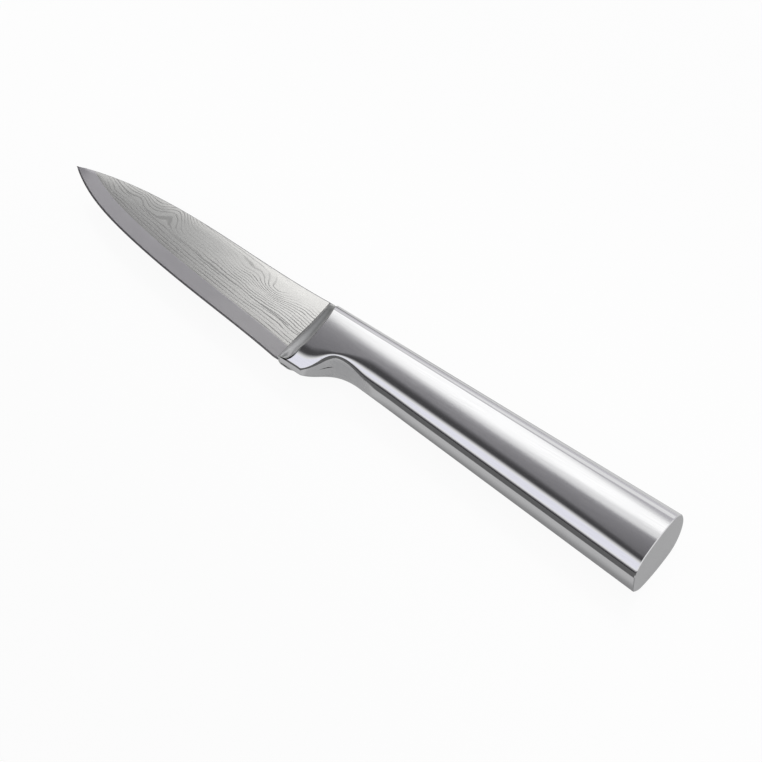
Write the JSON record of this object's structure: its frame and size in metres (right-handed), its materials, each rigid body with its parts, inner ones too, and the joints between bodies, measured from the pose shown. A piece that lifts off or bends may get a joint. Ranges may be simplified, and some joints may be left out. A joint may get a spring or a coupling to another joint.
{
  "type": "paring knife",
  "caption": "All-steel paring knife: slim pointed blade with a ripple-etched side, flared collar, hollow faceted handle with a finger notch, and a flat steel butt.",
  "frame": {"origin": "middle of the underside of the bounding box: the knife lies on its right side and the origin is on the surface under it", "axes": "+X from the blade's tip to the butt of the handle, +Y from the cutting edge to the spine, +Z from the right side, which lies down, to the left side, which faces up"},
  "size_m": [0.2048, 0.024, 0.0152],
  "materials": {
    "blade_steel": "etched with fine flowing ripple lines above a plain satin ground band; the edge is honed",
    "collar_steel": "brushed along the flare",
    "handle_steel": "fine brushed lines along the handle, welds ground flush",
    "cap_steel": "fine satin"
  },
  "bodies": {
    "root": {"blade": "blade_steel", "bolster_collar": "collar_steel", "handle_shell_left": "handle_steel", "handle_shell_right": "handle_steel", "butt_cap": "cap_steel"}
  },
  "joints": []
}
